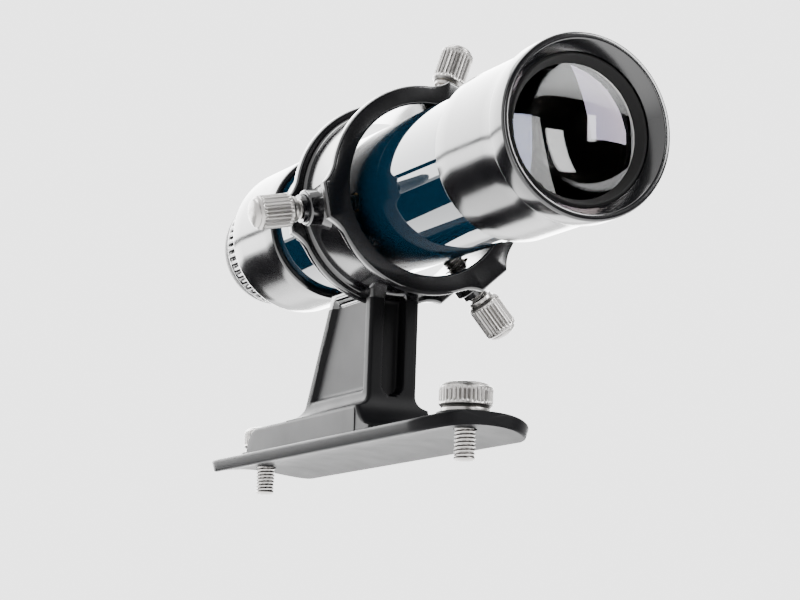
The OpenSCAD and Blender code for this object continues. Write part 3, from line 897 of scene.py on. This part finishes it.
def threaded_rod(r, low, high, pitch, depth):
    """Threaded rod: its radius falls by depth times a triangle wave of h / pitch - t / 2 pi, faded at the ends."""
    a = 0.5
    heights = np.linspace(low + a, high - 0.05, max(24, int((high - low) / pitch * 10)))
    flat, dome = 0.3 * r, 0.12
    outline = np.concatenate([[(0, low), (flat, low), (r - a, low + dome)],
                              np.stack([np.full_like(heights, r), heights], -1),
                              [(0, high)]])

    def thread(radius, h, t):
        turn = h / pitch - t / (2 * math.pi)
        wave = np.abs(2 * (turn - np.floor(turn + 0.5)))
        fade = np.clip((h - low - a) / pitch, 0, 1)
        return radius - depth * wave * fade * (radius > r - 0.01)

    return spin(outline, 40, thread)


def plain_neck(r, low, high, bore):
    """Short plain ring under a head."""
    return spin(rounded([(bore, low), (r, low), (r, high), (bore, high)], 0.15), 64)


class FINDER_OT_ring_screws(bpy.types.Operator):
    """The three knurled screws of the ring"""

    bl_idname = "finder.ring_screws"
    bl_label = "Ring screws"

    def execute(self, context):
        s = sizes()
        centre = np.array([0, RING_Y, AXIS_Z])
        tip = TUBE_R + 0.06
        head_len, head_r, thread_r = 8.5, 3.3, 2.0
        neck_len, neck_r = 0.8, 2.5
        head_base = bracket_sizes().boss_top + 2.8
        for side, out in SCREWS.items():
            rod = threaded_rod(thread_r, tip, head_base + 3.5, s.pitch, 0.3)
            piece = new_object(side + "_screw_thread", [place(rod, centre, out)])
            finish_piece(piece, side + "_shank", [nickel_plate()], [side + "_screw_shank"])
            head = knurled_head(head_r, head_len, 1.2, s.head_knurls, 0.32)
            neck = plain_neck(neck_r, head_base - neck_len, head_base + 0.1, thread_r + 0.02)
            piece = new_object(side + "_screw_knob", [place(head, centre + out * head_base, out),
                                                      place(neck, centre, out)])
            finish_piece(piece, side + "_head", [nickel_plate()], [side + "_screw_head"])
        return {"FINISHED"}


class FINDER_OT_foot_screws(bpy.types.Operator):
    """The two knurled screws of the foot and their washers"""

    bl_idname = "finder.foot_screws"
    bl_label = "Foot screws"

    def execute(self, context):
        s = sizes()
        up = (0, 0, 1)
        washers = []
        for end in ("front", "rear"):
            low, high = box_mm(end + "_foot_shank")
            head_low, head_high = box_mm(end + "_foot_head")
            at = np.array([0, (low[1] + high[1]) / 2, 0])
            rod = threaded_rod(2.0, low[2], 0.0, s.pitch, 0.3)
            plain = spin(np.array([(0, -0.3), (1.7, -0.3), (1.7, high[2]), (0, high[2])]), 40)
            piece = new_object(end + "_foot_thread", [place(rod, at, up), place(plain, at, up)])
            finish_piece(piece, end + "_foot_shank", [nickel_plate()], [end + "_foot_shank"])
            head = knurled_head((head_high[0] - head_low[0]) / 2, head_high[2] - head_low[2], 0.8,
                                s.foot_knurls, 0.35)
            piece = new_object(end + "_foot_knob", [place(head, at + np.array([0, 0, head_low[2]]), up)])
            finish_piece(piece, end + "_foot_head", [nickel_plate()], [end + "_foot_head"])
            ring = spin(rounded([(2.25, WASHER_LOW[2]), (4.6, WASHER_LOW[2]), (4.6, WASHER_HIGH[2]),
                                 (2.25, WASHER_HIGH[2])], 0.2), 72)
            washers.append(place(ring, at, up))
        piece = new_object("foot_washer_pair", washers)
        finish_piece(piece, "bracket_body", [nickel_plate()], ["foot_washers"])
        return {"FINISHED"}


# ---------------------------------------------------------------- inner pieces that keep their CAD shape

class FINDER_OT_inner(bpy.types.Operator):
    """Finishes of the turned pieces inside the tube and in the bosses"""

    bl_idname = "finder.inner"
    bl_label = "Inner pieces"

    def execute(self, context):
        finishes = {
            "boss_inserts": turned_brass(), "lens_spacer": nickel_plate(), "aperture_stop": matt_black(),
            "tube_baffle": matt_black(), "reticle_ring": matt_black(), "cross_wires": nickel_plate(),
            "reticle_retainer": turned_brass(), "lens_sleeve": matt_black(), "eyepiece_retainer": matt_black()}
        for node, material in finishes.items():
            piece = frame["nodes"][node]
            piece.data.materials.clear()
            piece.data.materials.append(material)
        return {"FINISHED"}


# ---------------------------------------------------------------- studio

def soft_light(name, place_at, aim, size, strength):
    """Rectangular soft box at a place, facing aim, hidden from the camera but seen in reflections."""
    data = bpy.data.lights.new(name, "AREA")
    data.shape = "RECTANGLE"
    data.size, data.size_y = size
    data.energy = strength
    lamp = bpy.data.objects.new(name, data)
    lamp.location = place_at
    lamp.rotation_mode = "QUATERNION"
    lamp.rotation_quaternion = (Vector(aim) - Vector(place_at)).to_track_quat("-Z", "Y")
    lamp.visible_camera = False
    bpy.context.scene.collection.objects.link(lamp)
    return lamp


def toward(azimuth, elevation):
    """Unit vector: azimuth in degrees from straight ahead (-Y) round to +X, elevation upwards."""
    a, e = math.radians(azimuth), math.radians(elevation)
    return Vector((math.sin(a) * math.cos(e), -math.cos(a) * math.cos(e), math.sin(e)))


def dark_card(name, middle, azimuth, elevation, wide, high, distance, material):
    """Black card that spans the given angles, seen only in reflections."""
    half_w = distance * math.tan(math.radians(wide / 2))
    half_h = distance * math.tan(math.radians(high / 2))
    mesh = bpy.data.meshes.new(name)
    mesh.from_pydata([(-half_w, -half_h, 0), (half_w, -half_h, 0), (half_w, half_h, 0), (-half_w, half_h, 0)], [],
                     [(0, 1, 2, 3)])
    mesh.materials.append(material)
    card = bpy.data.objects.new(name, mesh)
    card.location = middle + toward(azimuth, elevation) * distance
    card.rotation_mode = "QUATERNION"
    card.rotation_quaternion = toward(azimuth, elevation).to_track_quat("Z", "Y")
    card.visible_camera = card.visible_diffuse = card.visible_shadow = False
    bpy.context.scene.collection.objects.link(card)


class FINDER_OT_stage(bpy.types.Operator):
    """White studio with soft boxes, black cards for the dark reflections, and the camera"""

    bl_idname = "finder.stage"
    bl_label = "Stage"

    def execute(self, context):
        scene = bpy.context.scene
        floor_z, half = -0.32, 3.0
        mesh = bpy.data.meshes.new("floor")
        mesh.from_pydata([(-half, -half, floor_z), (half, -half, floor_z), (half, half, floor_z),
                          (-half, half, floor_z)], [], [(0, 1, 2, 3)])
        floor = bpy.data.objects.new("floor", mesh)
        mesh.materials.append(floor_finish())
        scene.collection.objects.link(floor)
        world = bpy.data.worlds.new("studio")
        world.use_nodes = True
        scene.world = world
        back = world.node_tree.nodes["Background"]
        back.inputs["Color"].default_value = (1, 1, 1, 1)
        back.inputs["Strength"].default_value = 3.2
        middle = Vector((0, RING_Y, AXIS_Z)) * MM
        lens = Vector((0, CELL_LOW[1], AXIS_Z)) * MM
        cloth = black_cloth()
        dark_card("front_card", lens, 30, 10, 120, 100, 1.4, cloth)
        dark_card("flank_card", middle, -150, -18, 70, 20, 0.85, cloth)
        dark_card("flank_bar", middle, -150, 5, 60, 3, 0.85, cloth)
        soft_light("right_box", lens + toward(44, 29), lens, (0.34, 0.62), 26)
        soft_light("left_box", lens + toward(8, 7), lens, (0.13, 0.36), 4)
        soft_light("back_box", middle + toward(180, 15), middle, (2.4, 0.79), 90)
        soft_light("top_box", middle + toward(-130, 68) * 0.9, middle, (0.7, 0.6), 25)
        camera_data = bpy.data.cameras.new("camera")
        camera = bpy.data.objects.new("camera", camera_data)
        scene.collection.objects.link(camera)
        camera.location = lens + toward(-29.5, -13.8) * 0.41
        target = Vector((0.0, -0.018, 0.028))
        camera.rotation_mode = "QUATERNION"
        look = (target - camera.location).to_track_quat("-Z", "Y")
        roll = Quaternion((0, 0, 1), math.radians(2.0))
        camera.rotation_quaternion = look @ roll
        camera_data.sensor_width = 36
        camera_data.lens = 108
        camera_data.clip_start = 0.01
        scene.camera = camera
        return {"FINISHED"}


class FINDER_PT_panel(bpy.types.Panel):
    """Lists the builders and the settings"""

    bl_idname = "FINDER_PT_panel"
    bl_label = "Finder scope"
    bl_space_type = "VIEW_3D"
    bl_region_type = "UI"
    bl_category = "Finder"

    def draw(self, context):
        for operator in OPERATORS:
            self.layout.operator(operator.bl_idname)
        for group in (sizes(), bracket_sizes(), colours()):
            for name in group.__annotations__:
                self.layout.prop(group, name)


OPERATORS = (FINDER_OT_stage, FINDER_OT_tube, FINDER_OT_cell, FINDER_OT_retainer, FINDER_OT_lenses, FINDER_OT_collar,
             FINDER_OT_eyepiece, FINDER_OT_bracket, FINDER_OT_ring_screws, FINDER_OT_foot_screws, FINDER_OT_inner)
CLASSES = (FinderSizes, BracketSizes, FinderColours, *OPERATORS, FINDER_PT_panel)


def register():
    """Makes the classes and the scene's settings known."""
    for cls in CLASSES:
        bpy.utils.register_class(cls)
    bpy.types.Scene.finder_sizes = PointerProperty(type=FinderSizes)
    bpy.types.Scene.bracket_sizes = PointerProperty(type=BracketSizes)
    bpy.types.Scene.finder_colours = PointerProperty(type=FinderColours)


def unregister():
    """Takes the settings and the classes away again."""
    del bpy.types.Scene.finder_colours
    del bpy.types.Scene.bracket_sizes
    del bpy.types.Scene.finder_sizes
    for cls in reversed(CLASSES):
        bpy.utils.unregister_class(cls)


def main():
    """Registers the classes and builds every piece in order."""
    register()
    for operator in OPERATORS:
        group, name = operator.bl_idname.split(".")
        getattr(getattr(bpy.ops, group), name)()


if __name__ == "__main__":
    main()
